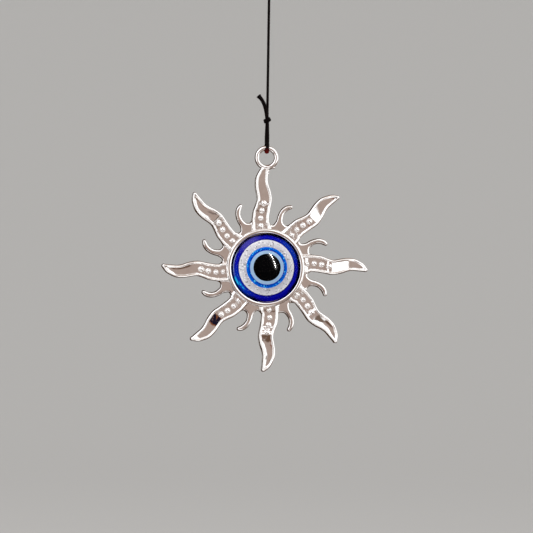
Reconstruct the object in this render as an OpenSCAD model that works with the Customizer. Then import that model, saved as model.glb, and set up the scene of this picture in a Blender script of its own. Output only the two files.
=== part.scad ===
// Evil eye ornament: a cast sun with a domed eye, hung on a thin knotted cord.
// Millimetres. X is to the right, Y away from the viewer and Z up. The ornament faces -Y.
// The origin is where the cord's top loop rests on its hook, and everything hangs below it.

/* [Sun casting] */
// Thickness of the flat plate that the rays are cut in
plate_t = 2.4; // [2.2:0.1:2.8]
// Width of the raised rim along each edge of a wavy ray
rim_w = 0.75; // [0.6:0.05:0.9]
// Depth of the channel between a ray's rims
channel_depth = 0.7; // [0.4:0.1:1]
// Radius of the outermost bead in a channel
bead_r = 0.78; // [0.7:0.02:0.8]

/* [Bezel] */
// Width of the bezel's wall
bezel_w = 1.4; // [1.2:0.1:1.6]
// Height of the bezel above the back face
bezel_h = 3.5; // [3.2:0.1:4]
// Thickness of the floor under the eye
floor_t = 0.8; // [0.6:0.1:1]

/* [Eye] */
// Radius of the eye
eye_r = 10; // [9.8:0.1:10.2]
// Radius of the sphere that the coloured face is part of
dome_r = 17.2; // [16:0.2:22]
// Thickness of the clear coat over the colours
coat_t = 0.4; // [0.3:0.05:0.6]
// Outer radius of the white ring
white_r = 8.1; // [7.8:0.1:8.4]
// Outer radius of the azure ring
azure_r = 6; // [5.7:0.1:6.2]
// Outer radius of the pale ring
pale_r = 4.95; // [4.7:0.05:5.2]
// Radius of the black pupil
pupil_r = 4; // [3.7:0.1:4.2]

/* [Hanging ring] */
// Radius of the cast ring at the middle of its wire
ring_r = 2.85; // [2.7:0.05:3]
// Radius of the ring's wire
wire_r = 0.72; // [0.65:0.01:0.75]

/* [Cord] */
// Diameter of the cord
cord_d = 0.85; // [0.75:0.05:0.9]
// Distance between the lower and the upper knot
line_len = 38.6; // [34:0.2:60]
// Radius of each knot
knot_r = 1; // [0.9:0.05:1.1]
// Gap between pieces that turn against each other
play = 0.12; // [0.08:0.01:0.15]

/* [Hidden] */
$fn = 96;

sectors = 8;
sector_deg = 360 / sectors;
cord_r = cord_d / 2;
cup_gap = 0.05;
glue_t = 0.15;
// How far the glue stays in from the eye's edge
glue_inset = 0.4;
channel_z = plate_t - channel_depth;
// How far the beads' centres stand above the channel's floor
bead_lift = 0.1;
// The eye's edge and the coat's edge, down from the bezel's top
eye_drop = 0.55;
coat_drop = 0.8;
// Undersides of the colours: body, white, azure, pale and pupil
layer_base = [floor_t + glue_t, 2.3, 3.1, 3.7, 4.3];
ring_z = plate_t / 2;
ring_height = 32.25;

// Heights along the cord, below the origin
upper_knot_z = -13.9;
lower_knot_z = upper_knot_z - line_len;
wire_z = lower_knot_z - 8.1;
eye_z = wire_z - ring_r - ring_height;

// A wavy ray: sideways place, distance from the eye's centre and half its width, root to tip
ray_spine = [[-1.6, 14, 2.5], [-1.4, 16, 2.45], [-0.9, 18, 2.25], [-0.5, 20, 2.2],
             [-0.8, 22, 2.15], [-1.3, 24, 2], [-1.4, 26, 1.8], [-0.85, 28, 1.4],
             [-0.4, 29, 1.05], [0.05, 29.75, 0.65]];
// A small hook, in its own direction half a sector on, in the same terms
hook_spine = [[-1.4, 14.2, 1], [-1.7, 15.4, 0.85], [-1.75, 16.6, 0.78], [-1.45, 17.8, 0.8],
              [-0.8, 18.8, 0.75], [0, 19.4, 0.6]];
// The bottoms of the two notches beside a hook, in the hook's direction
notch_before = [[-4.2, 12.75], [-3.4, 12.4], [-2.7, 12.65]];
notch_after = [[0.3, 14], [0.9, 13.95]];
// Beads along a ray, counted from the root, as fractions of the outermost bead's size
bead_sizes = [0.8, 0.86, 0.93, 1];
bead_first = 12.3;
bead_step = 2.2;

// A point at angle a clockwise of up
function turned(p, a) = [p.x * cos(a) + p.y * sin(a), p.y * cos(a) - p.x * sin(a)];
function flat(p) = [p.x, p.y];
function unit(v) = v / norm(v);
// The direction of a spine at station i
function heading(s, i) =
    unit(flat(s[min(i + 1, len(s) - 1)]) - flat(s[max(i - 1, 0)]));
// The edge point at station i: side is -1 on the left and 1 on the right
function edge(s, i, side, inset = 0) =
    let (h = heading(s, i)) flat(s[i]) + side * (s[i].z - inset) * [h.y, -h.x];
// The round end of a spine, from left to right
function tip(s) =
    let (n = len(s) - 1, h = heading(s, n))
    [for (a = [-45, 0, 45]) flat(s[n]) + s[n].z * turned(h, a)];
// Up the left side, round the tip and down the right side
function blade(s) = concat([for (i = [0:len(s) - 1]) edge(s, i, -1)], tip(s),
                           [for (i = [len(s) - 1:-1:0]) edge(s, i, 1)]);
function hook_and_notches() = concat(notch_before, blade(hook_spine), notch_after);
// Everything within one sector of the sun's outline, clockwise
function sector() = concat(blade(ray_spine),
                           [for (p = hook_and_notches()) turned(p, sector_deg / 2)]);

// A smooth curve through the points at fraction t between b and c
function between(a, b, c, d, t) =
    b + 0.5 * t * (c - a + t * (2 * a - 5 * b + 4 * c - d + t * (3 * (b - c) + d - a)));
function smooth_loop(p, steps) = let (n = len(p))
    [for (i = [0:n - 1]) for (k = [0:steps - 1])
        between(p[(i + n - 1) % n], p[i], p[(i + 1) % n], p[(i + 2) % n], k / steps)];
function smooth_path(p, steps) = let (n = len(p))
    concat([for (i = [0:n - 2]) for (k = [0:steps - 1])
        between(p[max(i - 1, 0)], p[i], p[i + 1], p[min(i + 2, n - 1)], k / steps)],
        [p[n - 1]]);

// The sun's outline and one ray's channel, flat
module sun_outline() {
    polygon(smooth_loop([for (k = [0:sectors - 1]) for (p = sector())
                         turned(p, k * sector_deg)], 2));
}

module channel_outline() {
    last = len(ray_spine) - 2;
    root = [[1.1, 11], [-3.9, 11]];
    polygon(smooth_loop(concat([for (i = [0:last]) edge(ray_spine, i, -1, rim_w)],
                               [for (i = [last:-1:0]) edge(ray_spine, i, 1, rim_w)],
                               root), 2));
}

// A bead's sideways place follows the ray's spine
function spine_x(r) = lookup(r, [for (s = ray_spine) [s.y, s.x]]);

module beads() {
    for (i = [0:len(bead_sizes) - 1]) {
        r = bead_first + i * bead_step;
        translate([spine_x(r), r, channel_z + bead_lift]) sphere(bead_r * bead_sizes[i], $fn = 32);
    }
}

// Places a part that is drawn face up, with the eye's centre at its origin
module hung() {
    translate([0, ring_z, eye_z]) rotate([90, 0, 0]) children();
}

module bezel() {
    mid = eye_r + cup_gap + bezel_w / 2;
    rotate_extrude() {
        translate([eye_r + cup_gap, 0]) square([bezel_w, bezel_h - bezel_w / 2]);
        translate([mid, bezel_h - bezel_w / 2]) circle(bezel_w / 2, $fn = 48);
    }
}

module hanging_ring() {
    translate([0, ring_height, ring_z])
        rotate_extrude() translate([ring_r, 0]) circle(wire_r, $fn = 48);
}

module sun_casting() {
    color("silver") hung() difference() {
        union() {
            difference() {
                linear_extrude(plate_t) sun_outline();
                for (k = [0:sectors - 1]) rotate(-k * sector_deg)
                    translate([0, 0, channel_z]) linear_extrude(plate_t) channel_outline();
                translate([0, ring_height, -1]) cylinder(r = ring_r, h = plate_t + 2);
            }
            for (k = [0:sectors - 1]) rotate(-k * sector_deg) beads();
            bezel();
            hanging_ring();
        }
        translate([0, 0, floor_t]) cylinder(r = eye_r + cup_gap, h = bezel_h);
    }
}

// The coloured face, a cap of one sphere, raised by lift
module dome(lift) {
    edge_z = bezel_h - eye_drop + lift;
    drop = sqrt(dome_r * dome_r - eye_r * eye_r);
    translate([0, 0, edge_z - drop]) sphere(dome_r, $fn = 128);
}

// One colour: everything under the face from base up, between two radii
module colour_layer(outer, base, inner, inner_base) {
    difference() {
        intersection() {
            dome(0);
            translate([0, 0, base]) cylinder(r = outer, h = dome_r);
        }
        if (inner > 0) translate([0, 0, inner_base]) cylinder(r = inner, h = dome_r);
    }
}

module glue_film() {
    color("lightyellow") hung() translate([0, 0, floor_t]) cylinder(r = eye_r - glue_inset, h = glue_t);
}

module eye_body() {
    color([0.01, 0.02, 0.5]) hung() colour_layer(eye_r, layer_base[0], white_r, layer_base[1]);
}

module eye_white_ring() {
    color([0.8, 0.8, 0.84]) hung() colour_layer(white_r, layer_base[1], azure_r, layer_base[2]);
}

module eye_azure_ring() {
    color([0, 0.35, 0.85]) hung() colour_layer(azure_r, layer_base[2], pale_r, layer_base[3]);
}

module eye_pale_ring() {
    color([0.6, 0.75, 0.9]) hung() colour_layer(pale_r, layer_base[3], pupil_r, layer_base[4]);
}

module eye_pupil() {
    color([0.02, 0.02, 0.02]) hung() colour_layer(pupil_r, layer_base[4], 0, 0);
}

module eye_clear_coat() {
    color([0.9, 0.95, 1, 0.3]) hung() difference() {
        intersection() {
            dome(coat_t);
            cylinder(r = eye_r, h = dome_r);
        }
        dome(0);
        cylinder(r = eye_r + 1, h = bezel_h - coat_drop);
    }
}

// A round cord swept along points, with flat ends
function along(p, i) = unit(p[min(i + 1, len(p) - 1)] - p[max(i - 1, 0)]);
module cord(points) {
    sides = 8;
    n = len(points);
    rings = [for (i = [0:n - 1])
        let (t = along(points, i), u = unit(cross(t, [1, 0.1, 0.05])), v = cross(t, u))
        for (k = [0:sides - 1])
            points[i] + cord_r * (u * cos(k * 360 / sides) + v * sin(k * 360 / sides))];
    walls = [for (i = [0:n - 2]) for (k = [0:sides - 1])
        let (a = i * sides + k, b = i * sides + (k + 1) % sides)
        [a, b, b + sides, a + sides]];
    polyhedron(rings, concat(walls, [[for (k = [sides - 1:-1:0]) k]],
                             [[for (k = [0:sides - 1]) (n - 1) * sides + k]]));
}

// Routes, from the knot or ring that each belongs to
bight_leg = [[0.2, -0.5, 6.9], [0.2, -0.65, 5], [0.15, -0.95, 3], [0.05, -1.2, 1.2]];
bend_r = wire_r + play + cord_r;
bight_bend = [for (a = [0:30:180]) [0, -bend_r * cos(a), -bend_r * sin(a)]];
bight_route = concat(bight_leg, bight_bend,
                     [for (i = [3:-1:0]) [-bight_leg[i].x, -bight_leg[i].y, bight_leg[i].z]]);
tail_route = [[-0.2, -0.65, 0.5], [-0.35, -0.95, 1.6], [-0.55, -0.95, 2.8],
              [-1, -0.85, 4.4], [-1.7, -0.7, 5.85], [-2.8, -0.5, 7.2]];
loop_side = [[0.5, 0, -13.1], [1.2, 0, -9.5], [1.9, 0, -6], [2.4, 0, -3], [2.2, 0, -1.2],
             [1.2, 0, 0]];
loop_route = concat([for (p = loop_side) [-p.x, p.y, p.z]], [[0, 0, cord_r]],
                    [for (i = [5:-1:0]) loop_side[i]]);
upper_tail_route = [[0.3, -0.7, 0.6], [1.3, -1.1, 1.7], [2.6, -1.2, 2.7], [3.9, -1.1, 3.1]];

module cord_bight() {
    color("black") translate([0, 0, wire_z]) cord(bight_route);
}

module lower_knot() {
    color("black") translate([0, 0, lower_knot_z]) sphere(knot_r);
}

module cord_tail() {
    color("black") translate([0, 0, lower_knot_z]) cord(smooth_path(tail_route, 2));
}

module cord_line() {
    top = upper_knot_z - knot_r - play;
    bottom = lower_knot_z + knot_r / 2;
    color("black") cord([for (k = [0:16]) [0, 0, bottom + (top - bottom) * k / 16]]);
}

module upper_knot() {
    color("black") translate([0, 0, upper_knot_z]) sphere(knot_r);
}

module hang_loop() {
    color("black") cord(smooth_path(loop_route, 2));
}

module upper_tail() {
    color("black") translate([0, 0, upper_knot_z]) cord(smooth_path(upper_tail_route, 2));
}

sun_casting();
glue_film();
eye_body();
eye_white_ring();
eye_azure_ring();
eye_pale_ring();
eye_pupil();
eye_clear_coat();
cord_bight();
lower_knot();
cord_tail();
cord_line();
upper_knot();
hang_loop();
upper_tail();
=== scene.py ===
import math

import bpy
import numpy as np
from mathutils import Matrix, Vector
from mathutils.geometry import delaunay_2d_cdt
from mathutils.kdtree import KDTree


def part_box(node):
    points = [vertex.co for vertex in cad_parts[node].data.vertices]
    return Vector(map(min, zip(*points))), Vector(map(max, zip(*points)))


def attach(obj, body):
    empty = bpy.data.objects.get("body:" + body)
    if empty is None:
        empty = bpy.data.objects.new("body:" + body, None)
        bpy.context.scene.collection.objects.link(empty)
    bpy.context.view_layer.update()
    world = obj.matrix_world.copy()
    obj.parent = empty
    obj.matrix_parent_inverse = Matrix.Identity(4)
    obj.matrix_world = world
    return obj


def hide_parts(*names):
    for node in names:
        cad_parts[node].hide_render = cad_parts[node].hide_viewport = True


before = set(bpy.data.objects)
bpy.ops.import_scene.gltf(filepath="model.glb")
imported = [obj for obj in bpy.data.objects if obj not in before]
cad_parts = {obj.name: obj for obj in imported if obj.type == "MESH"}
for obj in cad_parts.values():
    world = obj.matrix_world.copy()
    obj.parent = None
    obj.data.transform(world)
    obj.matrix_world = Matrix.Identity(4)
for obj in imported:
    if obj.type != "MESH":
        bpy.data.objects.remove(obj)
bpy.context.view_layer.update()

MM = 0.001

# --- Sizes of the casting, in millimetres ---
SECTORS = 8
SECTOR = math.radians(360 / SECTORS)
CUP_R, BEZEL_OUT = 10.05, 11.45
RING_HEIGHT, RING_R, WIRE_R = 32.25, 2.85, 0.72
# Heights over the flat back
BEZEL_H, RIM_Z, WEB_Z, CHANNEL_Z, FLOOR_T, RING_Z = 3.5, 2.4, 1.75, 1.6, 0.8, 1.2

# --- Places that come from the frame ---
BACK_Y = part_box("sun_casting")[1].y
EYE_Z = sum(corner.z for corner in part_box("eye_body")) / 2
WIRE_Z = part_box("sun_casting")[1].z - WIRE_R * MM


def centre(node):
    low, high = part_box(node)
    return (low + high) / 2


LOWER_KNOT = centre("lower_knot")
UPPER_KNOT = centre("upper_knot")


def on_face(points):
    """Points (right, up, height over the back) in millimetres round the eye, put in the frame."""
    p = np.atleast_2d(np.asarray(points, float)) * MM
    return np.column_stack([p[:, 0], BACK_Y - p[:, 2], EYE_Z + p[:, 1]])


# --- Camera ---
AZIMUTH = math.radians(-7.5)
ELEVATION = math.radians(-1.4)
ROLL = math.radians(0.85)
DISTANCE = 0.7
VIEW_WIDTH = 0.1558
SENSOR = 36
SIDE_SHIFT, RISE = 0.31 * MM, 0.37 * MM
FACE_Y = BACK_Y - 2 * MM

camera_back = Vector((math.sin(AZIMUTH) * math.cos(ELEVATION),
                      -math.cos(AZIMUTH) * math.cos(ELEVATION), math.sin(ELEVATION)))
camera_right = Vector((math.cos(AZIMUTH), math.sin(AZIMUTH), 0))
camera_up = camera_back.cross(camera_right)


def towards(right, up, back):
    """A direction given as the camera sees it."""
    return (camera_right * right + camera_up * up + camera_back * back).normalized()


def add_object(name, data):
    made = bpy.data.objects.new(name, data)
    bpy.context.scene.collection.objects.link(made)
    return made


def add_camera():
    camera = add_object("camera", bpy.data.cameras.new("camera"))
    camera.data.sensor_width = SENSOR
    camera.data.lens = SENSOR * DISTANCE / VIEW_WIDTH
    camera.data.clip_start, camera.data.clip_end = 0.01, 20
    right = camera_right * math.cos(ROLL) + camera_up * math.sin(ROLL)
    up = camera_up * math.cos(ROLL) - camera_right * math.sin(ROLL)
    target = Vector((0, FACE_Y, EYE_Z)) + right * SIDE_SHIFT + up * RISE
    place = Matrix((right, up, camera_back)).transposed().to_4x4()
    place.translation = target + camera_back * DISTANCE
    camera.matrix_world = place
    bpy.context.scene.camera = camera


add_camera()


# --- Meshes ---
def add_mesh(name, points, faces, material, sharp_deg=180):
    mesh = bpy.data.meshes.new(name)
    mesh.from_pydata([tuple(p) for p in points], [], [tuple(int(i) for i in f) for f in faces])
    mesh.shade_smooth()
    if sharp_deg < 180:
        mesh.set_sharp_from_angle(angle=math.radians(sharp_deg))
    mesh.materials.append(material)
    mesh.validate()
    return add_object(name, mesh)


def lengths(vectors):
    return np.linalg.norm(vectors, axis=1)


def unit(vectors):
    return vectors / lengths(vectors)[:, None]


def aside(run):
    """Unit vectors a quarter turn to the right of flat directions."""
    run = unit(run)
    return np.column_stack([run[:, 1], -run[:, 0]])


def smooth(points, steps, closed=False):
    """A Catmull-Rom curve through the points."""
    p = np.array(points, float)
    n = len(p)
    first = np.arange(n if closed else n - 1)[:, None] + np.array([-1, 0, 1, 2])
    around = first % n if closed else np.clip(first, 0, n - 1)
    a, b, c, d = (q[:, None, :] for q in p[around].transpose(1, 0, 2))
    t = (np.arange(steps) / steps)[None, :, None]
    curve = b + 0.5 * t * (c - a + t * (2 * a - 5 * b + 4 * c - d + t * (3 * (b - c) + d - a)))
    curve = curve.reshape(-1, p.shape[1])
    return curve if closed else np.vstack([curve, p[-1:]])


def evenly(points, spacing):
    """The same path with points a spacing apart."""
    p = np.array(points, float)
    at = np.concatenate([[0], np.cumsum(lengths(np.diff(p, axis=0)))])
    wanted = np.linspace(0, at[-1], max(2, round(at[-1] / spacing) + 1))
    return np.column_stack([np.interp(wanted, at, column) for column in p.T])


def strip_faces(rows, columns, closed=True):
    """Quads between rows of points, each row closed on itself or open."""
    faces = []
    for i in range(rows - 1):
        for k in range(columns if closed else columns - 1):
            a, b = i * columns + k, i * columns + (k + 1) % columns
            faces.append((a, b, b + columns, a + columns))
    return faces


def fan(pole, first, sides, up):
    """Triangles that close a circle of points with a pole, facing up or down."""
    pairs = [(first + k, first + (k + 1) % sides) for k in range(sides)]
    return [(a, b, pole) if up else (pole, b, a) for a, b in pairs]


def circle(x, y, r, n):
    a = np.arange(n) * 2 * math.pi / n
    return np.column_stack([x + r * np.cos(a), y + r * np.sin(a)])


def at_height(flat, z):
    return np.column_stack([flat, np.full(len(flat), z)])


# --- Materials ---
def material_with(name, **settings):
    """A new material and its Principled shader, with plain values on the shader's own sockets."""
    material = bpy.data.materials.new(name)
    material.use_nodes = True
    shader = material.node_tree.nodes["Principled BSDF"]
    for socket, value in settings.items():
        shader.inputs[socket.replace("_", " ")].default_value = value
    return material, shader


def connect(material, source, target):
    """Feed a socket from another node's output, or with a plain value or colour."""
    if isinstance(source, bpy.types.NodeSocket):
        material.node_tree.links.new(source, target)
    else:
        target.default_value = (*source, 1) if isinstance(source, tuple) else source


def node(material, kind, **inputs):
    """A new node with these inputs connected."""
    made = material.node_tree.nodes.new(kind)
    for socket, value in inputs.items():
        connect(material, value, made.inputs[socket.replace("_", " ")])
    return made


def object_coordinates(material):
    """Coordinates in millimetres on the object at rest."""
    scale = node(material, "ShaderNodeVectorMath")
    scale.operation = "SCALE"
    connect(material, node(material, "ShaderNodeTexCoord").outputs["Object"], scale.inputs[0])
    connect(material, 1 / MM, scale.inputs["Scale"])
    return scale.outputs["Vector"]


def ramp(material, factor, stops):
    """A colour ramp from (position, colour) stops."""
    made = node(material, "ShaderNodeValToRGB", Fac=factor)
    elements = made.color_ramp.elements
    while len(elements) < len(stops):
        elements.new(0.5)
    for element, (position, colour) in zip(elements, stops):
        element.position = position
        element.color = (*colour, 1)
    return made.outputs["Color"]


def mapped(material, value, low, high, to_low=0.0, to_high=1.0):
    """to_low at low, to_high at high, and an even S curve between them."""
    made = node(material, "ShaderNodeMapRange", Value=value, From_Min=low, From_Max=high,
                To_Min=to_low, To_Max=to_high)
    made.interpolation_type = "SMOOTHSTEP"
    return made.outputs["Result"]


def math_node(material, operation, a, b=0.0):
    made = node(material, "ShaderNodeMath")
    made.operation = operation
    connect(material, a, made.inputs[0])
    connect(material, b, made.inputs[1])
    return made.outputs[0]


def plus(material, a, b):
    return math_node(material, "ADD", a, b)


def minus(material, a, b):
    return math_node(material, "SUBTRACT", a, b)


def times(material, a, b):
    return math_node(material, "MULTIPLY", a, b)


def length_of(material, x, y):
    squares = plus(material, times(material, x, x), times(material, y, y))
    return math_node(material, "SQRT", squares)


def noise(material, place, scale, detail, distortion=0.0):
    made = node(material, "ShaderNodeTexNoise", Vector=place, Scale=scale, Detail=detail,
                Distortion=distortion)
    return made.outputs["Fac"]


def separated(material, vector):
    """The X, Y and Z of a vector."""
    return node(material, "ShaderNodeSeparateXYZ", Vector=vector).outputs


def round_eye(material, place):
    """Right, up and radius from the eye's axis, in millimetres."""
    right, _, z = separated(material, place)
    up = minus(material, z, EYE_Z / MM)
    return right, up, length_of(material, right, up)


def mix_colours(material, factor, a, b):
    made = node(material, "ShaderNodeMix")
    made.data_type = "RGBA"
    # inputs 6 and 7 and output 2 are the node's colours
    for value, socket in ((factor, 0), (a, 6), (b, 7)):
        connect(material, value, made.inputs[socket])
    return made.outputs[2]


def add_bump(material, shader, height, strength, distance):
    bump = node(material, "ShaderNodeBump", Strength=strength, Distance=distance, Height=height)
    connect(material, bump.outputs["Normal"], shader.inputs["Normal"])


LUMPS_END = 19  # distance from the eye's centre, in millimetres


def plated_metal():
    """Bright silver plating with the faint waves and pits of a small die casting."""
    material, shader = material_with("plated_metal", Metallic=1.0)
    place = object_coordinates(material)
    waves = noise(material, place, 0.55, 2)
    pits = noise(material, place, 4.5, 3)
    tint = ramp(material, waves, [(0.3, (0.91, 0.895, 0.885)), (0.7, (0.98, 0.975, 0.97))])
    connect(material, tint, shader.inputs["Base Color"])
    connect(material, mapped(material, pits, 0.35, 0.75, 0.035, 0.12), shader.inputs["Roughness"])
    # the floors round the beads are lumpy, and the flat back has sunk a little as it cooled
    *_, radius = round_eye(material, place)
    thick = minus(material, BACK_Y / MM, separated(material, place)["Y"])
    on_floor = times(material, mapped(material, thick, CHANNEL_Z - 0.12, CHANNEL_Z - 0.05),
                     mapped(material, thick, CHANNEL_Z + 0.11, CHANNEL_Z + 0.06))
    on_floor = times(material, on_floor, mapped(material, radius, LUMPS_END, LUMPS_END - 1))
    facing = separated(material, node(material, "ShaderNodeTexCoord").outputs["Normal"])["Y"]
    on_back = math_node(material, "GREATER_THAN", facing, 0.97)
    height = plus(material, waves, times(material, pits, 0.16))
    for bumps, share, size in ((noise(material, place, 1.5, 2), on_floor, 5.0),
                               (noise(material, place, 0.11, 1), on_back, 9.0)):
        height = plus(material, height, times(material, bumps, times(material, share, size)))
    add_bump(material, shader, height, 0.2, 0.12 * MM)
    return material


def resin(name, colour):
    """Cast resin with slightly uneven colour."""
    material, shader = material_with(name, Roughness=0.5, Specular_IOR_Level=0.0)
    place = object_coordinates(material)
    darker = tuple(0.86 * c for c in colour)
    cloud = ramp(material, noise(material, place, 0.8, 3), [(0.3, darker), (0.7, colour)])
    connect(material, cloud, shader.inputs["Base Color"])
    return material


def glitter_resin(name, inner_colour, colour, flake_glint, dark, per_mm, share, inner, outer):
    """Resin with fine flakes: each cell of a Voronoi pattern may hold one, more of them towards the
    inner border. Some flakes have a painted glint and the rest painted shade, as if they faced
    away."""
    material, shader = material_with(name, Roughness=0.35, Specular_IOR_Level=0.0)
    place = object_coordinates(material)
    *_, radius = round_eye(material, place)
    outward = mapped(material, radius, inner, outer)
    cells = node(material, "ShaderNodeTexVoronoi", Vector=place, Scale=per_mm)
    number = node(material, "ShaderNodeSeparateColor", Color=cells.outputs["Color"])
    limit = minus(material, 1 - share, times(material, minus(material, 1.0, outward), share * 0.8))
    chosen = math_node(material, "GREATER_THAN", number.outputs["Red"], limit)
    near = mapped(material, cells.outputs["Distance"], 0.5, 0.35)
    is_flake = times(material, chosen, near)
    darker = tuple(0.9 * c for c in colour)
    body = ramp(material, noise(material, place, 1.2, 3), [(0.3, darker), (0.7, colour)])
    body = mix_colours(material, outward, inner_colour, body)
    # painted glint on the flakes that shine and painted shade on the ones that face away
    painted_glint_mask = mapped(material, number.outputs["Green"], 0.45, 0.55)
    glint = mix_colours(material, painted_glint_mask, dark, flake_glint)
    connect(material, mix_colours(material, is_flake, body, glint), shader.inputs["Base Color"])
    return material


def cobalt_resin():
    """Translucent cobalt with painted light and shade: dark at both its borders, the outer one a
    painted shadow under the bezel, and painted light that it passes gathered here and there, most
    of it low on the left, with a painted violet reflection high on the left."""
    material, shader = material_with("resin_cobalt", Roughness=0.5, Specular_IOR_Level=0.0)
    place = object_coordinates(material)
    across, up, radius = round_eye(material, place)
    uneven = times(material, minus(material, noise(material, place, 0.9, 3), 0.5), 0.5)
    outward = plus(material, mapped(material, radius, 8.0, 10.0), uneven)
    # painted shade: dark at the inner border and black at the outer one, a painted shadow of the
    # bezel
    colour = ramp(material, outward, [(0.0, (0.003, 0.002, 0.17)), (0.35, (0.003, 0.006, 0.42)),
                                      (0.66, (0.004, 0.003, 0.26)), (0.85, (0.001, 0.001, 0.04)),
                                      (0.92, (0.0, 0.0, 0.004))])

    def round_spot(angle_deg, wide, at_radius, deep_by):
        """1 at an angle and a radius of the ring, fading over a width and a depth."""
        a = math.radians(angle_deg)
        gap = length_of(material, plus(material, across, -at_radius * math.cos(a)),
                        plus(material, up, -at_radius * math.sin(a)))
        off = math_node(material, "ABSOLUTE", minus(material, radius, at_radius))
        return times(material, mapped(material, gap, wide, wide * 0.3),
                     mapped(material, off, deep_by, deep_by * 0.3))

    # painted light: glows of passed light low on the left, high on the right and at the bottom,
    # then a painted violet reflection high on the left and a painted light arc on the left edge
    for spot, painted_glow in (((212, 6.5, 9.0, 1.1), (0.003, 0.03, 0.42)),
                       ((38, 5.0, 8.9, 0.9), (0.004, 0.03, 0.36)),
                       ((287, 6.5, 9.4, 0.8), (0.001, 0.001, 0.30)),
                       ((126, 4.6, 8.9, 1.0), (0.055, 0.048, 0.35)),
                       ((172, 5.0, 9.54, 0.13), (0.26, 0.32, 0.66))):
        colour = mix_colours(material, round_spot(*spot), colour, painted_glow)
    broken = mapped(material, noise(material, place, 1.6, 2, 0.8), 0.42, 0.58, 0.35, 1.0)
    # painted cyan glints of gathered light, low on the left, broken up by noise
    for spot, glint in (((205, 1.7, 9.45, 0.34), (0.02, 0.62, 1.0)),
                        ((217, 1.9, 8.95, 0.3), (0.01, 0.45, 1.0))):
        colour = mix_colours(material, times(material, round_spot(*spot), broken), colour, glint)
    connect(material, colour, shader.inputs["Base Color"])
    return material


def clear_coat():
    """A clear dome: what is behind shows straight through, and the surface mirrors by Fresnel."""
    material = bpy.data.materials.new("resin_clear")
    material.use_nodes = True
    tree = material.node_tree
    tree.nodes.remove(tree.nodes["Principled BSDF"])
    fresnel = node(material, "ShaderNodeFresnel", IOR=1.12)
    outside = minus(material, 1.0, node(material, "ShaderNodeNewGeometry").outputs["Backfacing"])
    clear = node(material, "ShaderNodeBsdfTransparent")
    mirror = node(material, "ShaderNodeBsdfGlossy", Roughness=0.065)
    swell = noise(material, object_coordinates(material), 0.5, 1)
    add_bump(material, mirror, swell, 0.25, 0.05 * MM)
    mixed = node(material, "ShaderNodeMixShader")
    connect(material, times(material, fresnel.outputs["Fac"], outside), mixed.inputs[0])
    connect(material, clear.outputs["BSDF"], mixed.inputs[1])
    connect(material, mirror.outputs["BSDF"], mixed.inputs[2])
    connect(material, mixed.outputs["Shader"], tree.nodes["Material Output"].inputs["Surface"])
    return material


def waxed_cord():
    """Black waxed thread with fine fibres, a little brown where the light gets into it. Round the
    ring the wax is worn and the thread is dark red."""
    material, shader = material_with("cord", Roughness=0.65, Specular_IOR_Level=0.06)
    place = object_coordinates(material)
    fibres = noise(material, place, 7, 4, 1.0)
    tone = ramp(material, fibres, [(0.35, (0.001, 0.0008, 0.0008)), (0.6, (0.004, 0.002, 0.002)),
                                   (0.8, (0.035, 0.008, 0.004))])
    worn = mapped(material, separated(material, place)["Z"], BEND_Z + WORN_LENGTH, BEND_Z)
    connect(material, mix_colours(material, worn, tone, WORN), shader.inputs["Base Color"])
    connect(material, mapped(material, fibres, 0.3, 0.7, 0.45, 0.75), shader.inputs["Roughness"])
    add_bump(material, shader, fibres, 0.6, 0.04 * MM)
    return material


# --- Cord ---
CORD_D, CORD_SIDES = 0.85, 24
# How many plies, a ply's share of the thickness and the length of one turn
PLIES, PLY_SHARE, PLY_TWIST = 3, 0.54, 1.3
WIRE_GAP = 0.12
BEND_R = WIRE_R + WIRE_GAP + CORD_D / 2
BEND_Z = WIRE_Z / MM - BEND_R - CORD_D / 2
WORN_LENGTH, WORN = 1.9, (0.13, 0.004, 0.002)
# A cut tail flares over this length, and every end is rounded to this share of its thickness
FLARE_LENGTH, END_SHARE = 1.6, 0.8
COIL_W, COIL_DEEP = 0.68, 0.6
# Drawn tight over the wire, the thread spreads by this share, less and less up to this height
SPREAD, SPREAD_UP = 0.5, 1.4
PLATED = plated_metal()
CORD = waxed_cord()


def ply_section(turn):
    """The outline of three twisted plies across the cord, as radii at even angles."""
    ply = PLY_SHARE * CORD_D / 2
    off = CORD_D / 2 - ply
    angles = np.arange(CORD_SIDES) * 2 * math.pi / CORD_SIDES
    nearest = (angles - turn + math.pi / PLIES) % (2 * math.pi / PLIES) - math.pi / PLIES
    return angles, off * np.cos(nearest) + np.sqrt(ply ** 2 - (off * np.sin(nearest)) ** 2)


def twisted_cord(name, route, flare=0.0, spacing=0.1, scale=1.0):
    """A twisted cord along a route in millimetres, with closed ends. The last part may flare."""
    path = evenly(smooth(route, 8), spacing)
    n = len(path)
    along = unit(np.gradient(path, axis=0))
    side = np.cross(along[0], [0.3, 1, 0.1])  # across the cord, as no part of it runs that way
    points = []
    for i in range(n):
        side = side - along[i] * (side @ along[i])
        side /= np.linalg.norm(side)
        other = np.cross(along[i], side)
        angles, radii = ply_section(2 * math.pi * i * spacing / PLY_TWIST)
        to_end = max(0.0, 1 - (n - 1 - i) * spacing / FLARE_LENGTH)
        radii = radii * scale * (1 + flare * to_end ** 2)
        if i in (0, n - 1):
            radii = radii * END_SHARE
        points.append(path[i] + radii[:, None] * (np.cos(angles)[:, None] * side
                                                  + np.sin(angles)[:, None] * other))
    points = np.vstack(points)
    faces = strip_faces(n, CORD_SIDES)
    faces.append(tuple(range(CORD_SIDES - 1, -1, -1)))
    faces.append(tuple(range((n - 1) * CORD_SIDES, n * CORD_SIDES)))
    piece = add_mesh(name, points * MM, faces, CORD)
    return piece, path


def moved(route, place):
    """A route in millimetres, set out from a place in the frame."""
    return np.array(route, float) + np.array(place) / MM


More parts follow.
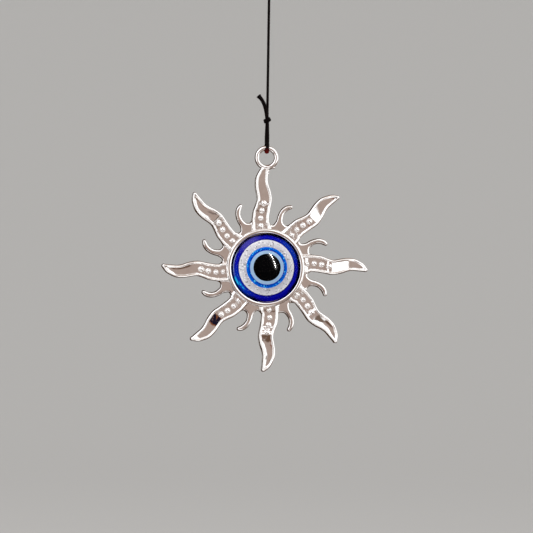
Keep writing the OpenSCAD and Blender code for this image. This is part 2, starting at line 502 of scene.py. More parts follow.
BIGHT_LEG = [(0.1, -0.4, 7.8), (0.12, -0.5, 6.9), (0.17, -0.65, 5), (0.2, -0.95, 3),
             (0.12, -1.2, 1.2)]
TAIL = [(-0.2, -0.65, 0.5), (-0.35, -0.95, 1.6), (-0.55, -0.95, 2.8), (-1.0, -0.85, 4.4),
        (-1.7, -0.7, 5.85), (-2.8, -0.5, 7.2)]
LOOP_SIDE = [(0.5, 0, -13.1), (1.2, 0, -9.5), (1.9, 0, -6), (2.4, 0, -3), (2.2, 0, -1.2),
             (1.2, 0, 0)]
UPPER_TAIL = [(0.3, -0.7, 0.6), (1.3, -1.1, 1.7), (2.6, -1.2, 2.7), (3.9, -1.1, 3.1)]


def bight_route():
    bend = [(0, -BEND_R * math.cos(math.radians(a)), -BEND_R * math.sin(math.radians(a)))
            for a in range(0, 181, 30)]
    back = [(-x, -y, z) for x, y, z in reversed(BIGHT_LEG)]
    return BIGHT_LEG + bend + back


def loop_route():
    left = [(-x, y, z) for x, y, z in LOOP_SIDE]
    return left + [(0, 0, CORD_D / 2)] + LOOP_SIDE[::-1]


def knot_route(lean, turns=2.2):
    """A thread that coils round the strands and leans to one side."""
    route = []
    steps = round(turns * 10)
    for i in range(steps + 1):
        share = i / steps
        a = 2 * math.pi * turns * share
        pull = min(1.0, 4 * share, 4 * (1 - share))
        x, y = COIL_W * pull * math.cos(a), COIL_DEEP * pull * math.sin(a)
        route.append((x, y, -0.5 + share + lean * x))
    return route


def knot(name, place, lean, body, node_name):
    """Two coils and a crossing strand, drawn tight."""
    coil, _ = twisted_cord(name, moved(knot_route(lean), place), scale=1.1)
    crossing, _ = twisted_cord(name + "_crossing", moved(
        [(-0.75, -0.1, -0.1), (-0.62, -0.72, 0), (0.1, -0.95, 0.25), (0.6, -0.5, 0.65)], place))
    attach(coil, body)
    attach(crossing, body)
    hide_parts(node_name)
    return [coil, crossing]


line_top = UPPER_KNOT.z / MM - 0.7
line_bottom = LOWER_KNOT.z / MM + 0.5
line, line_path = twisted_cord("cord_line_twisted",
                               [(0, 0, z) for z in np.linspace(line_bottom, line_top, 17)])
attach(line, "line")
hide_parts("cord_line")
tail, _ = twisted_cord("cord_tail_twisted", moved(TAIL, LOWER_KNOT), flare=0.4, scale=1.42)
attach(tail, "line")
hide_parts("cord_tail")
bight, _ = twisted_cord("cord_bight_twisted", moved(bight_route(), (0, 0, WIRE_Z)), scale=0.97)
for vertex in bight.data.vertices:
    vertex.co.x *= 1 + SPREAD * min(1, max(0, 1 - (vertex.co.z - WIRE_Z) / (SPREAD_UP * MM)))
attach(bight, "bight")
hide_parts("cord_bight")
top_loop, _ = twisted_cord("hang_loop_twisted", loop_route())
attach(top_loop, "top_loop")
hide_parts("hang_loop")
upper_tail, _ = twisted_cord("upper_tail_twisted", moved(UPPER_TAIL, UPPER_KNOT), flare=0.35)
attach(upper_tail, "top_loop")
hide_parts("upper_tail")
low_knot = knot("lower_knot_tied", LOWER_KNOT, 0.3, "line", "lower_knot")
high_knot = knot("upper_knot_tied", UPPER_KNOT, -0.25, "top_loop", "upper_knot")

# --- Stage and lights ---
FLOOR_DROP = 0.1
STAGE_R, STAGE_TURN, STAGE_TOP = 1.6, 0.5, 2.6


def add_stage():
    """A pale floor that curves up into a wall all round."""
    material, shader = material_with("pale_card", Roughness=0.9)
    shader.inputs["Base Color"].default_value = (0.52, 0.512, 0.50, 1)
    profile = [(0.001, 0), (STAGE_R - STAGE_TURN, 0)]
    profile += [(STAGE_R - STAGE_TURN + STAGE_TURN * math.sin(math.radians(a)),
                 STAGE_TURN - STAGE_TURN * math.cos(math.radians(a))) for a in range(10, 91, 10)]
    profile.append((STAGE_R, STAGE_TOP))
    sides = 96
    floor_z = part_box("sun_casting")[0].z - FLOOR_DROP
    points = np.vstack([at_height(circle(0, 0, r, sides), floor_z + z) for r, z in profile])
    bowl = add_mesh("studio_bowl", points, strip_faces(len(profile), sides), material)
    bowl.visible_glossy = bowl.visible_diffuse = False
    bowl.visible_transmission = bowl.visible_shadow = False


def add_light(name, direction, distance, size, power, colour, long_axis=Vector((0, 0, 1))):
    """A soft box that faces the eye from a direction."""
    lamp = bpy.data.lights.new(name, "AREA")
    lamp.shape = "RECTANGLE"
    lamp.size, lamp.size_y = size
    lamp.energy = power
    lamp.color = colour
    light = add_object(name, lamp)
    back = direction.normalized()
    right = long_axis.normalized().cross(back).normalized()
    up = back.cross(right)
    place = Matrix((right, up, back)).transposed().to_4x4()
    place.translation = Vector((0, BACK_Y, EYE_Z)) + back * distance
    light.matrix_world = place
    return light


# What the metal mirrors, each laid over those before it: a direction, how far round it is full and
# where it has faded, in degrees, and its colour. First as the camera sees them, then in the frame.
ROOM = [
    # the bright half of the room on the camera's side, and darker parts at its border
    ((0, 0, 1), 74, 88, (1.4, 1.41, 1.42)),
    ((0.05, -0.9, 0.35), 30, 54, (0.52, 0.45, 0.43)),
    ((0.8, -0.6, 0.15), 20, 40, (0.20, 0.12, 0.08)),
    ((-0.1, 0.95, 0.2), 20, 42, (0.62, 0.50, 0.43)),
    ((-0.95, -0.05, 0.12), 14, 30, (0.40, 0.33, 0.30)),
    # the dull middle of it, which the flat parts mirror
    ((0, 0, 1), 24, 31, (0.40, 0.31, 0.27)),
    # bright panels round the middle
    ((-0.43, 0.70, 0.57), 15, 26, (1.8, 1.8, 1.9)),
    ((-0.70, -0.02, 0.69), 10, 16, (1.7, 1.7, 1.7)),
    ((-0.42, -0.66, 0.62), 9, 14, (1.5, 1.48, 1.45)),
    ((0.22, -0.72, 0.65), 8, 13, (1.5, 1.48, 1.45)),
    ((0.78, 0.1, 0.62), 17, 21, (1.6, 1.6, 1.6)),
    ((0.58, 0.52, 0.63), 18, 22, (1.8, 1.8, 1.8)),
    # dark things, which the hollows of the lower rays mirror
    ((-0.07, 0.12, 0.99), 3, 6, (0.21, 0.16, 0.14)),
    ((0.20, -0.28, 0.94), 5, 9, (0.13, 0.075, 0.05)),
    ((-0.10, -0.31, 0.94), 10, 13.5, (0.20, 0.055, 0.012)),
    ((-0.12, -0.34, 0.93), 8, 10, (0.008, 0.007, 0.02)),
    ((-0.58, -0.42, 0.70), 8, 14, (0.47, 0.40, 0.38)),
    ((0.50, -0.27, 0.82), 8, 12, (0.17, 0.12, 0.09)),
    # dark wood low on the left and behind, and paler walls to the right and above
    ((-0.84, -0.52, 0.15), 18, 32, (0.05, 0.02, 0.006)),
    ((-0.3, -0.28, -0.9), 80, 90, (0.045, 0.018, 0.004)),
    ((0.95, 0.4, 0.05), 20, 40, (1.2, 1.2, 1.2)),
]
BEHIND = [
    ((0.85, 0.75, 0.35), 24, 44, (0.45, 0.42, 0.40)),
    ((0.75, 0.65, -0.05), 6, 30, (0.62, 0.60, 0.58)),
    ((0.6, 0.66, -0.5), 4, 18, (0.30, 0.27, 0.25)),
    ((-0.3, 0.95, 0.05), 6, 14, (0.5, 0.48, 0.46)),
]


def add_world():
    """The room as polished metal shows it, and plain pale grey for everything else."""
    world = bpy.data.worlds.new("room")
    bpy.context.scene.world = world
    world.use_nodes = True
    tree = world.node_tree
    direction = node(world, "ShaderNodeTexCoord").outputs["Generated"]

    def patch(towards_it, full_deg, fade_deg):
        """1 within full_deg of a direction, fading to 0 at fade_deg."""
        dot = node(world, "ShaderNodeVectorMath")
        dot.operation = "DOT_PRODUCT"
        connect(world, direction, dot.inputs[0])
        dot.inputs[1].default_value = towards_it.normalized()
        return mapped(world, dot.outputs["Value"], math.cos(math.radians(fade_deg)),
                      math.cos(math.radians(full_deg)))

    colour = mix_colours(world, 1.0, (0, 0, 0), (0.40, 0.31, 0.25))
    layers = [(towards(*where), *rest) for where, *rest in ROOM]
    layers += [(Vector(where), *rest) for where, *rest in BEHIND]
    for where, full, fade, shade in layers:
        colour = mix_colours(world, patch(where, full, fade), colour, shade)
    mirrored = node(world, "ShaderNodeLightPath").outputs["Is Glossy Ray"]
    colour = mix_colours(world, mirrored, (0.78, 0.775, 0.77), colour)
    background = tree.nodes["Background"]
    connect(world, colour, background.inputs["Color"])


bpy.context.scene.view_settings.view_transform = "Standard"
add_world()
add_stage()
# two strip lamps that meet at an angle make the bent highlight on the pupil
low_end, top_end = towards(0.536, 0.0, 0.844), towards(0.27, 0.53, 0.80)
bend = towards(0.457, 0.282, 0.843)
strips = [add_light(name, start + end, 0.8, size, power, (1, 0.98, 0.95), end - start)
          for name, start, end, size, power in (
              ("lower_strip", low_end, bend, (0.018, 0.235), 22),
              ("upper_strip", bend, top_end, (0.010, 0.225), 18))]
overhead = add_light("overhead", towards(-0.2, 0.8, 0.5), 0.9, (0.5, 0.5), 3.4, (1, 0.98, 0.96))
overhead.visible_glossy = False

# --- Sun casting ---
# Spines of a ray and of a hook: across, distance from the eye's centre, half width
RAY = [(-1.6, 14, 2.5), (-1.4, 16, 2.45), (-0.9, 18, 2.25), (-0.5, 20, 2.2), (-0.8, 22, 2.15),
       (-1.3, 24, 2), (-1.4, 26, 1.8), (-0.85, 28, 1.4), (-0.4, 29, 1.05), (0.05, 29.75, 0.65)]
RAY_ROOT = [(-1.3, 10.4, 2.7), (-1.35, 12.2, 2.65)]
HOOK = [(-1.4, 14.2, 1), (-1.7, 15.4, 0.85), (-1.75, 16.6, 0.78), (-1.45, 17.8, 0.8),
        (-0.8, 18.8, 0.75), (0, 19.4, 0.6)]
NOTCH_BEFORE = [(-4.2, 12.75), (-3.4, 12.4), (-2.7, 12.65)]
NOTCH_AFTER = [(0.3, 14), (0.9, 13.95)]
# Distance from the eye's centre and radius of each bead, and how far they stand out of the floor
BEADS = [(12.35, 0.66), (14.5, 0.72), (16.7, 0.78), (18.85, 0.84)]
BEAD_LIFT = 0.12
# Every edge ends in a tight round; before it the surface falls over a width, by a fall, to a power
EDGE_ROUND, EDGE_STEEP = 0.25, 1.7
RIM_W = 0.88
WEB_EDGE, RIM_EDGE = (0.72, 0.42, 2.6), (RIM_W / 2, 0.2, 1.25)
RIM_SHARP, FOOT_W = 1.6, 0.22
BEZEL_SQUARE = (3, 0.45)  # powers: its top is squarer than a half round
# Depths inside an edge that have a row of points
RIM_ROWS = (0.05, 0.13, 0.24, 0.35, 0.44, 0.54, 0.65, 0.77, 0.88, 1.0)
# Height of each ray's floor against the distance from the eye's centre, clockwise from the top
# ray. All of them start as the channel that the beads are in.
LEAF_START = (10, CHANNEL_Z)
LEAF_END = [(28.5, 1.55), (29.6, 1.8), (31, 2.2)]
LEAF_SLOPE = [(23.4, 1.62), (25.2, 1.48), (27, 1.43)] + LEAF_END
LEAVES = [
    [(17.6, 1.6), (18.4, 1.7), (19.1, 1.92), (19.6, 1.97), (20.2, 1.93), (21.5, 1.88),
     (24, 1.8), (26.5, 1.7), (28.5, 1.65), (29.6, 1.8), (31, 2.2)],
    [(16.2, 1.6), (17.3, 1.7), (18.4, 1.87), (19.2, 1.98), (19.8, 1.97), (21.2, 1.76),
     (22.6, 1.54), (23.6, 1.46), (25.2, 1.44), (27, 1.43)] + LEAF_END,
    [(17.6, 1.6), (18.3, 1.74), (18.9, 2), (19.4, 2.08), (20, 2.03), (21.8, 1.76),
     (23.4, 1.53), (24.8, 1.34), (25.6, 1.3), (27.8, 1.32), (28.8, 1.45), (29.6, 1.75), (31, 2.2)],
    [(17.6, 1.6), (18.4, 1.7), (19.1, 1.96), (19.8, 2.1), (20.6, 2.05), (21.8, 1.86)] + LEAF_SLOPE,
    [(17.9, 1.6), (18.6, 1.72), (19.05, 1.95), (19.4, 2.06), (19.8, 2.03), (20.6, 1.9),
     (21.4, 1.77), (22.2, 1.7), (23.5, 1.64), (25.2, 1.58), (27, 1.5)] + LEAF_END,
    [(14, 1.68), (17, 1.86), (18.6, 1.98), (19.3, 2.04), (19.8, 1.99), (20.5, 1.83),
     (21.4, 1.58), (22.4, 1.32), (23.2, 1.22), (24.5, 1.22), (27, 1.36), (28.5, 1.5), (29.6, 1.8),
     (31, 2.2)],
    [(19.4, 1.6), (20.4, 1.66), (21.6, 1.67), (23.4, 1.58), (25.2, 1.48), (27, 1.43)] + LEAF_END,
    [(18.9, 1.6), (19.5, 1.7), (20, 1.92), (20.5, 2.03), (21, 2), (21.8, 1.86)] + LEAF_SLOPE]
# A leaf's sides curve up, less in some rays, and from this distance on
DEEP_RAY = 5
EVEN_RAYS, EVEN_BOWL, BOWL = (0, 1, 2, DEEP_RAY), 0.1, 0.35
LEAF_FROM, LEAF_FADE = 20, 2.5
# The slope of the deepest hollow is wavy between these distances
DENT, DENT_FROM, DENT_TO = 0.035, 19, 24
# Past the ring's wire the top ray thickens at this slope
RING_FLAT, RING_SLOPE = 0.3, 0.5
# Where the rows of points run: round the bezel, and as shares of a bead's radius
BEZEL_ROWS = (CUP_R, 10.12, 10.25, 10.45, 10.75, 11.05, 11.25, 11.38, 11.44, 11.5, 11.62, 11.8)
BEAD_ROWS = (0, 0.28, 0.52, 0.72, 0.87, 0.96, 1.0, 1.06)
GRID, REACH = 0.27, 31
OUTLINE_STEPS, OUTLINE_GAP = 5, 0.2
# Grains of metal where the ring was joined in the pattern: place, size and stretch
GRAINS = [(0.5, 29.1, 1.85, 0.36), (0.5, 28.3, 1.95, 0.34), (0.42, 27.5, 2.0, 0.3),
          (2.0, 29.35, 1.3, 0.5, (1.3, 0.6, 0.8))]
AT_ONCE = 2000  # points that are measured at a time


def turned(points, angle):
    """Points at an angle clockwise of up."""
    p = np.asarray(points, float)
    c, s = np.cos(angle), np.sin(angle)
    return np.column_stack([p[:, 0] * c + p[:, 1] * s, p[:, 1] * c - p[:, 0] * s])


def all_round(points):
    """The points once in every sector."""
    return np.vstack([turned(points, k * SECTOR) for k in range(SECTORS)])


def blade(spine):
    """Up the left side of a spine, round its tip and down the right."""
    s = np.array(spine, float)
    at, half = s[:, :2], s[:, 2:]
    run = unit(np.vstack([at[1] - at[0], at[2:] - at[:-2], at[-1] - at[-2]]))
    left, right = at - half * aside(run), at + half * aside(run)
    cap = [at[-1] + half[-1] * turned(run[-1:], math.radians(a))[0] for a in (-45, 0, 45)]
    return np.vstack([left, cap, right[::-1]])


def sector_outline():
    hook = np.vstack([NOTCH_BEFORE, blade(HOOK), NOTCH_AFTER])
    return np.vstack([blade(RAY), turned(hook, SECTOR / 2)])


SUN_EDGE = smooth(all_round(sector_outline()), OUTLINE_STEPS, closed=True)
IN_SECTOR = len(sector_outline()) * OUTLINE_STEPS
NEAR_EDGE = np.vstack([SUN_EDGE[-IN_SECTOR:], SUN_EDGE[:2 * IN_SECTOR]])
RAY_EDGE = smooth(blade(RAY_ROOT + RAY), 6)


def distance_to(points, path):
    """Distance from each point to an open path."""
    a, run = path[:-1], np.diff(path, axis=0)
    size = np.maximum((run ** 2).sum(1), 1e-12)
    found = []
    for p in np.array_split(points, max(1, len(points) // AT_ONCE)):
        gap = p[:, None] - a
        t = np.clip((gap * run).sum(2) / size, 0, 1)
        found.append(np.sqrt(((gap - t[..., None] * run) ** 2).sum(2)).min(1))
    return np.concatenate(found)


def inside(points, loop):
    """Whether each point is inside a closed loop."""
    (ax, ay), (bx, by) = loop.T, np.roll(loop, -1, 0).T
    rise = np.where(by == ay, 1e-12, by - ay)
    found = []
    for p in np.array_split(points, max(1, len(points) // AT_ONCE)):
        x, y = p[:, :1], p[:, 1:]
        crossed = ((ay > y) != (by > y)) & (x < (bx - ax) * (y - ay) / rise + ax)
        found.append(crossed.sum(1) % 2 == 1)
    return np.concatenate(found)


def sector_of(points):
    """The sector of each point, counted clockwise from the top ray's."""
    return np.round(np.arctan2(points[:, 0], points[:, 1]) / SECTOR).astype(int)


def in_own_sector(points):
    """Points turned back into the top ray's sector."""
    return turned(points, -sector_of(points) * SECTOR)


def curve_value(table, at):
    """A smooth curve through a table of (place, value)."""
    x, y = np.array(table, float).T
    slope = np.gradient(y, x)
    i = np.clip(np.searchsorted(x, at) - 1, 0, len(x) - 2)
    width = x[i + 1] - x[i]
    t = np.clip((at - x[i]) / width, 0, 1)
    return ((2 * t ** 3 - 3 * t ** 2 + 1) * y[i] + (t ** 3 - 2 * t ** 2 + t) * width * slope[i]
            + (3 * t ** 2 - 2 * t ** 3) * y[i + 1] + (t ** 3 - t ** 2) * width * slope[i + 1])


def spine_at(along):
    """Sideways place and half width of a ray at a distance from the eye's centre."""
    x, y, w = np.array(RAY_ROOT + RAY).T
    return np.interp(along, y, x), np.interp(along, y, w)


def edge_drop(depth, width, fall, power):
    """How far the surface falls towards an edge: a slope of some width, then a tight round."""
    slope = 1 - np.clip(depth / width, 0, 1)
    t = 1 - np.clip(depth / EDGE_ROUND, 0, 1)
    return fall * slope ** power + EDGE_STEEP * EDGE_ROUND * (1 - np.sqrt(1 - t ** 2))


def relief(points):
    """Height of the casting's front over its back face."""
    own = in_own_sector(points)
    r = lengths(own)
    edge = distance_to(own, NEAR_EDGE)
    rim = distance_to(own, RAY_EDGE)
    in_ray = inside(own, RAY_EDGE)
    along = own[:, 1]
    middle = RIM_W / 2
    # the web and the hooks
    web = WEB_Z - edge_drop(edge, *WEB_EDGE)
    foot = np.clip(1 - rim / FOOT_W, 0, 1) ** 2
    web = web + (RIM_Z - middle - WEB_Z) * foot
    # a ray: its floor is scooped, between two round rims
    depth = np.minimum(rim, edge)
    _, half = spine_at(along)
    leaf = np.clip((along - LEAF_FROM) / LEAF_FADE, 0, 1)
    ray_number = sector_of(points) % SECTORS
    floors = [curve_value([LEAF_START, *table], along) for table in LEAVES]
    floor = np.choose(ray_number, floors)
    bowl = np.where(np.isin(ray_number, EVEN_RAYS), EVEN_BOWL, BOWL)
    floor = floor + leaf * bowl * np.clip(1 - rim / half, 0, 1) ** 2
    uneven = np.clip(along - DENT_FROM, 0, 1) * np.clip(DENT_TO - along, 0, 1)
    uneven = uneven * (ray_number == DEEP_RAY)
    floor = floor + DENT * uneven * np.sin(2.2 * own[:, 0] + 1.6 * along)
    inner = (0.5 + 0.5 * np.cos(math.pi * np.clip((depth - middle) / middle, 0, 1))) ** RIM_SHARP
    ray = floor + (RIM_Z - floor) * inner - edge_drop(depth, *RIM_EDGE)
    for bead_at, bead_r in BEADS:
        off = np.hypot(own[:, 0] - spine_at(bead_at)[0], along - bead_at)
        ball = CHANNEL_Z + BEAD_LIFT + np.sqrt(np.clip(bead_r ** 2 - off ** 2, 0, None))
        ray = np.where(off < bead_r, np.maximum(ray, ball), ray)
    height = np.where(in_ray, ray, web)
    # the bezel round the eye
    half_wall = (BEZEL_OUT - CUP_R) / 2
    off = np.clip(np.abs(r - CUP_R - half_wall) / half_wall, 0, 1)
    bezel = BEZEL_H - half_wall + half_wall * (1 - off ** BEZEL_SQUARE[0]) ** BEZEL_SQUARE[1]
    height = np.where(r < BEZEL_OUT, np.maximum(height, bezel), height)
    # the top ray thins down to the ring's wire
    from_ring = lengths(points - (0, RING_HEIGHT))
    wire_top = RING_Z + WIRE_R + 0.02
    past = np.clip(from_ring - RING_R - RING_FLAT, 0, None)
    return np.minimum(height, wire_top + RING_SLOPE * past)


def front_normals(flat, height, triangles):
    """Exact normals of the relief, so that its mirror finish shows no facets. The triangles give
    those of the outermost points."""
    step = 0.04
    slope_x = (relief(flat + (step, 0)) - height) / step
    slope_y = (relief(flat + (0, step)) - height) / step
    exact = unit(np.column_stack([-slope_x, -slope_y, np.ones(len(flat))]))
    a, b, c = np.column_stack([flat, height])[triangles].transpose(1, 0, 2)
    rough = np.zeros((len(flat), 3))
    for corner in range(3):
        np.add.at(rough, triangles[:, corner], np.cross(b - a, c - a))
    depth = np.minimum(distance_to(in_own_sector(flat), NEAR_EDGE), np.abs(lengths(flat) - CUP_R))
    share = np.clip((depth - 0.03) / 0.09, 0, 1)[:, None]
    normals = exact * share + unit(rough) * (1 - share)
    return np.column_stack([normals[:, 0], -normals[:, 2], normals[:, 1]])


class Scatter:
    """Points that keep their distance from each other; what is added first stays."""

    def __init__(self):
        self.points = np.zeros((0, 2))

    def add(self, points, gap):
        points = np.asarray(points, float)
        if len(self.points):
            tree = KDTree(len(self.points))
            for i, (x, y) in enumerate(self.points):
                tree.insert((x, y, 0), i)
            tree.balance()
            keep = [tree.find((x, y, 0))[2] > gap for x, y in points]
            points = points[np.array(keep)]
        self.points = np.vstack([self.points, points])


def offset_points(loop, depth):
    """Points at a depth inside a closed loop that runs clockwise, where there is room."""
    moved_in = loop + depth * aside(np.roll(loop, -1, 0) - np.roll(loop, 1, 0))
    own = in_own_sector(moved_in)
    return moved_in[distance_to(own, NEAR_EDGE) > 0.96 * depth]


def front_points():
    """The outline and, inside it, points along every rim, bead and bezel line and a fine grid."""
    outline = evenly(np.vstack([SUN_EDGE, SUN_EDGE[:1]]), OUTLINE_GAP)[:-1]
    scatter = Scatter()
    scatter.add(outline, 0)
    for depth in RIM_ROWS:
        scatter.add(offset_points(outline, depth), 0.04 + 0.06 * depth)
    for r in BEZEL_ROWS:
        scatter.add(circle(0, 0, r, 280), 0.045)
    base = evenly(RAY_EDGE, OUTLINE_GAP)
    r = lengths(base)
    base = base[(r > 11.7) & (r < 15)]
    side = aside(np.gradient(base, axis=0))
    for depth in (-FOOT_W, -0.1, 0, *RIM_ROWS):
        row = base + depth * side
        row = row[distance_to(in_own_sector(row), NEAR_EDGE) > 0.1]
        scatter.add(all_round(row), 0.055)
    places = [(float(spine_at(bead_at)[0]), bead_at, bead_r) for bead_at, bead_r in BEADS]
    for share in BEAD_ROWS:
        around = max(6, round(26 * share))
        rounds = np.vstack([circle(x, y, bead_r * share, around) if share else [[x, y]]
                            for x, y, bead_r in places])
        scatter.add(all_round(rounds), 0.03)
    columns = np.arange(-REACH, REACH, GRID)
    grid = np.vstack([np.column_stack([columns + (i % 2) * GRID / 2, np.full(len(columns), y)])
                      for i, y in enumerate(np.arange(-REACH, REACH, GRID * math.sqrt(3) / 2))])
    r = lengths(grid)
    grid = grid[(r > 11.6) & (r < REACH)]
    grid = grid[inside(grid, SUN_EDGE)]
    grid = grid[distance_to(in_own_sector(grid), NEAR_EDGE) > 0.3]
    scatter.add(grid, 0.15)
    return outline, scatter.points


def boundary_of(triangles):
    """Edges that only one triangle has, in that triangle's direction."""
    edges = np.vstack([triangles[:, [0, 1]], triangles[:, [1, 2]], triangles[:, [2, 0]]])
    pairs = set(map(tuple, edges))
    return [(a, b) for a, b in pairs if (b, a) not in pairs]


def loops_of(edges):
    """Closed loops of point numbers from directed edges."""
    follow = dict(edges)
    loops = []
    while follow:
        start, nxt = follow.popitem()
        loop = [start]
        while nxt != start:
            loop.append(nxt)
            nxt = follow.pop(nxt)
        loops.append(loop)
    return loops


def triangulated(points, loops):
    """Delaunay triangles over the points that keep the loops' edges."""
    edges = [(loop[i], loop[(i + 1) % len(loop)]) for loop in loops for i in range(len(loop))]
    made = delaunay_2d_cdt([Vector(p) for p in points], edges, [], 0, 1e-5)
    return np.array([tuple(p) for p in made[0]]), np.array([f for f in made[2] if len(f) == 3])


def faced(points, triangles, up):
    """The triangles with their corners in the order that makes each face up, or down."""
    ab, ac = (points[triangles[:, k]] - points[triangles[:, 0]] for k in (1, 2))
    turn = ab[:, 0] * ac[:, 1] - ab[:, 1] * ac[:, 0]
    wrong = turn < 0 if up else turn > 0
    triangles[wrong] = triangles[wrong][:, ::-1]
    return triangles


BACK_EDGE = [(0, 0.22), (0.06, 0.06), (0.2, 0)]  # how far in and how high each row of the round is


def front_triangles():
    """The front's points, flat, and its triangles, without the cup and the hole of the ring."""
    outline, points = front_points()
    cut = circle(0, RING_HEIGHT, RING_R, 60)
    count = len(points)
    points = np.vstack([points, cut])
    cup = np.where(np.abs(lengths(points[:count]) - CUP_R) < 1e-6)[0]
    cup = cup[np.argsort(np.arctan2(points[cup, 1], points[cup, 0]))]
    loops = [list(range(len(outline))), list(map(int, cup)), list(range(count, len(points)))]
    flat, triangles = triangulated(points, loops)
    middles = flat[triangles].mean(1)
    keep = (inside(middles, SUN_EDGE) & (lengths(middles) > CUP_R - 0.01)
            & (lengths(middles - (0, RING_HEIGHT)) > RING_R - 0.005))
    used, triangles = np.unique(faced(flat, triangles[keep], up=True), return_inverse=True)
    return flat[used], triangles.reshape(-1, 3)


def plate():
    """The sun's plate with its relief, its walls, its flat back and the cup for the eye."""
    flat, triangles = front_triangles()
    height = relief(flat)
    normals = front_normals(flat, height, triangles)
    verts = [np.column_stack([flat, height])]
    faces = [tuple(t) for t in triangles]
    total = len(flat)
    for loop in sorted(loops_of(boundary_of(triangles)), key=len, reverse=True):
        at = flat[loop]
        n = len(loop)
        is_cup = lengths(at).max() < CUP_R + 0.05
        inward = aside(np.roll(at, 1, 0) - np.roll(at, -1, 0))
        if is_cup:
            rows = [at_height(at, FLOOR_T)]
        else:
            rows = [at_height(at + move * inward, z) for move, z in BACK_EDGE]
        above = np.array(loop)
        for row in rows:
            below = np.arange(total, total + n)
            for i in range(n):
                j = (i + 1) % n
                faces.append((above[i], below[i], below[j], above[j]))
            verts.append(row)
            total += n
            above = below
        if is_cup:
            faces.append(tuple(above))
        else:
            _, cap = triangulated(at, [list(range(n))])
            cap = faced(at, cap[inside(at[cap].mean(1), at)], up=False)
            faces += [tuple(above[t]) for t in cap]
    return np.vstack(verts), faces, len(triangles), normals


def hanging_ring(around=96, sides=32):
    """A closed ring of round wire, flat in the sun's plane."""
    section = circle(RING_R, RING_Z, WIRE_R, sides)
    points = [(r * math.cos(a), RING_HEIGHT + r * math.sin(a), z)
              for a in np.arange(around) * 2 * math.pi / around for r, z in section]
    faces = [(i * sides + k, ((i + 1) % around) * sides + k,
              ((i + 1) % around) * sides + (k + 1) % sides, i * sides + (k + 1) % sides)
             for i in range(around) for k in range(sides)]
    return np.array(points), faces


def ball(x, y, z, size, stretch=(1, 1, 1), rows=14, sides=24):
    """A rounded grain of metal."""
    points = [(x, y, z - size * stretch[2])]
    for i in range(1, rows):
        lat = -math.pi / 2 + math.pi * i / rows
        points += [(x + size * stretch[0] * math.cos(lat) * math.cos(2 * math.pi * k / sides),
                    y + size * stretch[1] * math.cos(lat) * math.sin(2 * math.pi * k / sides),
                    z + size * stretch[2] * math.sin(lat)) for k in range(sides)]
    points.append((x, y, z + size * stretch[2]))
    last = len(points) - 1
    faces = fan(0, 1, sides, up=False)
    faces += [(1 + a, 1 + b, 1 + c, 1 + d) for a, b, c, d in strip_faces(rows - 1, sides)]
    return np.array(points), faces + fan(last, last - sides, sides, up=True)


def sun_casting():
    *front, front_faces, normals = plate()
    parts = [front, hanging_ring(), *(ball(*grain) for grain in GRAINS)]
    points, faces, total = [], [], 0
    for some, more in parts:
        points.append(some)
        faces += [tuple(int(i) + total for i in f) for f in more]
        total += len(some)
    piece = add_mesh("sun_casting_plated", on_face(np.vstack(points)), faces, PLATED, sharp_deg=55)
    mesh = piece.data
    # the relief's own normals on the front, whose faces come first, and flat ones on the back
    at = np.zeros(len(mesh.loops), int)
    mesh.loops.foreach_get("vertex_index", at)
    custom = np.zeros((len(at), 3))
    custom[:3 * front_faces] = normals[at[:3 * front_faces]]
    for face in mesh.polygons:
        if all(abs(mesh.vertices[i].co.y - BACK_Y) < 1e-7 for i in face.vertices):
            custom[face.loop_start:face.loop_start + face.loop_total] = (0, 1, 0)
    mesh.normals_split_custom_set(custom.tolist())
    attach(piece, "ornament")
    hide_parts("sun_casting")


sun_casting()

# --- Eye ---
EYE_R, DOME_R, COAT_T, COAT_R = 10, 17.2, 0.4, 9.94
BODY_R = EYE_R - 0.05  # clear of the cup's wall
FOOT_R, FOOT_HIGH = 9.6, 0.4
WHITE_R, AZURE_R, PALE_R, PUPIL_R = 8.1, 6, 4.95, 4
EYE_BASE, EYE_EDGE = 0.95, BEZEL_H - 0.55
LATHE_SIDES = 160


def dome(r, lift=0.0):
    """Height of the coloured face at a radius."""
    return EYE_EDGE + lift - math.sqrt(DOME_R ** 2 - EYE_R ** 2) + math.sqrt(DOME_R ** 2 - r ** 2)


def dome_arc(start, end, steps, lift=0.0):
    return [(start + (end - start) * i / steps, dome(start + (end - start) * i / steps, lift))
            for i in range(steps + 1)]


def ring(base, outer, inner, steps):
    """The outline of a ring of resin, from its floor up to the dome."""
    return [(outer, base)] + dome_arc(outer, inner, steps) + [(inner, base)]


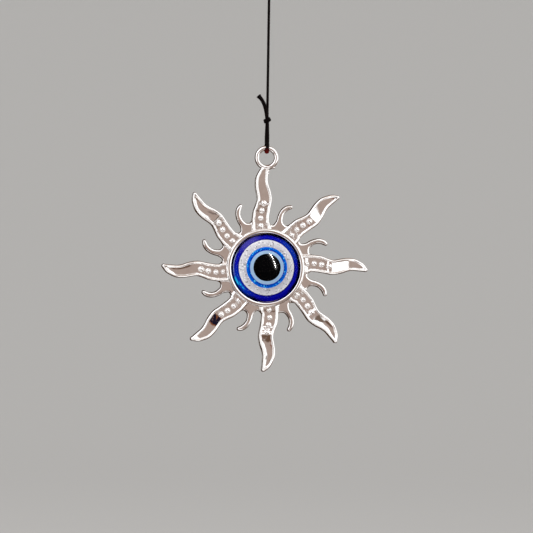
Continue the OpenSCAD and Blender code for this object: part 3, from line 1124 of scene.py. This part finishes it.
def lathed(name, profile, material, node_name, sharp_deg=35):
    """A solid turned about the eye's axis from (radius, height) points, up its outside first. It
    is closed on the axis only at the profile's ends."""
    rows = [at_height(circle(0, 0, r, LATHE_SIDES), z) for r, z in profile if r > 0]
    points = np.vstack(rows)
    faces = strip_faces(len(rows), LATHE_SIDES)
    last = (len(rows) - 1) * LATHE_SIDES
    for (r, z), first, up in ((profile[0], 0, False), (profile[-1], last, True)):
        if r <= 0:
            faces += fan(len(points), first, LATHE_SIDES, up)
            points = np.vstack([points, (0, 0, z)])
    if profile[0][0] > 0 and profile[-1][0] > 0:
        faces += [(last + k, last + (k + 1) % LATHE_SIDES, (k + 1) % LATHE_SIDES, k)
                  for k in range(LATHE_SIDES)]
    piece = add_mesh(name, on_face(points), faces, material, sharp_deg)
    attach(piece, "ornament")
    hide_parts(node_name)
    return piece


# Heights of the floors that the white, azure, pale and black resins are poured on
BASES = [2.3, 3.1, 3.7, 4.3]
lathed("eye_body_cobalt", [(0, EYE_BASE), (FOOT_R, EYE_BASE), (BODY_R, EYE_BASE + FOOT_HIGH)]
       + dome_arc(BODY_R, WHITE_R, 10) + [(WHITE_R, BASES[0]), (0, BASES[0])],
       cobalt_resin(), "eye_body")
# the flake colours, white here and cyan for the azure, are painted glints; the darkest are painted
# shade
lathed("eye_white_glitter", ring(BASES[0], WHITE_R, AZURE_R, 8),
       glitter_resin("resin_white", (0.50, 0.49, 0.55), (0.77, 0.765, 0.82), (1.0, 1.0, 1.0),
                     (0.07, 0.07, 0.09), 2.7, 0.26, AZURE_R, WHITE_R),
       "eye_white_ring")
lathed("eye_azure_glitter", ring(BASES[1], AZURE_R, PALE_R, 5),
       glitter_resin("resin_azure", (0.0, 0.035, 0.40), (0.001, 0.155, 0.78), (0.12, 0.75, 1.0),
                     (0.0, 0.015, 0.2), 2.8, 0.2, PALE_R, AZURE_R),
       "eye_azure_ring")
lathed("eye_pale_pour", ring(BASES[2], PALE_R, PUPIL_R, 5),
       resin("resin_pale", (0.36, 0.53, 0.76)), "eye_pale_ring")
lathed("eye_pupil_pour", [(0, BASES[3]), (PUPIL_R, BASES[3])] + dome_arc(PUPIL_R, 0, 12),
       resin("resin_black", (0.0015, 0.0015, 0.002)), "eye_pupil")
coat = lathed("eye_coat_dome", dome_arc(COAT_R, 0, 28, COAT_T) + dome_arc(0, COAT_R, 28, 0.01),
              clear_coat(), "eye_clear_coat")
only_coat = bpy.data.collections.new("lit by the strips")
only_coat.objects.link(coat)
for strip in strips:
    strip.light_linking.receiver_collection = only_coat
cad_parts["glue_film"].data.materials.clear()
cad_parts["glue_film"].data.materials.append(resin("glue", (0.72, 0.68, 0.5)))
